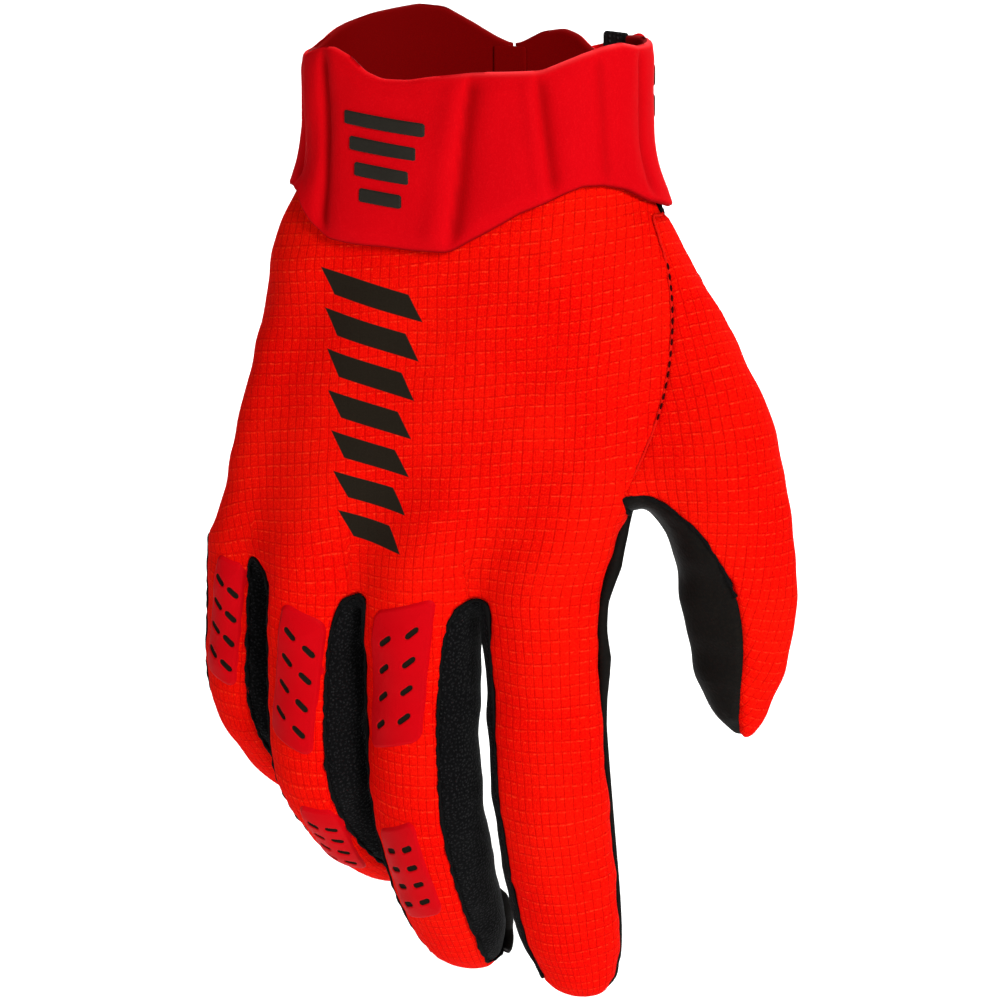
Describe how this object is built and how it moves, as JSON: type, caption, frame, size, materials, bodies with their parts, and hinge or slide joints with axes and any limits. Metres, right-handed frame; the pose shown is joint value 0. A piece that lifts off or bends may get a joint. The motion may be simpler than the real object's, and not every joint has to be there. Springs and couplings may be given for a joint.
{
  "type": "motocross glove",
  "caption": "Right-hand motocross glove in worn form: red grid knit back, black palm and finger gussets, slotted finger pads and a moulded closure cuff.",
  "frame": {"origin": "middle of the wrist opening", "axes": "+Z out of the wrist opening along the forearm, +X towards the thumb side, +Y towards the palm side, fingers towards -Z"},
  "size_m": [0.1431, 0.0779, 0.2277],
  "materials": {
    "knit": "red ripstop grid knit, matte",
    "leather": "black synthetic leather, matte",
    "mesh": "black stretch mesh",
    "neoprene": "moulded crimson neoprene, matte",
    "hook": "black hook tape",
    "rubber": "black moulded rubber, satin",
    "pad": "dark red soft rubber, satin"
  },
  "bodies": {
    "root": {"back_panel": "knit", "thumb_back": "knit", "palm_panel": "leather", "thumb_inner": "leather", "gusset_index_middle": "mesh", "gusset_middle_ring": "mesh", "gusset_ring_little": "mesh", "cuff_band": "neoprene", "cuff_tongue": "neoprene", "closure_tab": "neoprene", "closure_hook": "hook", "closure_grip_upper": "rubber", "closure_grip_lower": "rubber", "cuff_badge_1": "rubber", "cuff_badge_2": "rubber", "cuff_badge_3": "rubber", "cuff_badge_4": "rubber", "knuckle_pad_middle": "pad", "knuckle_pad_ring": "pad", "knuckle_pad_little": "pad", "finger_pad_middle": "pad", "finger_pad_ring": "pad"}
  },
  "joints": []
}
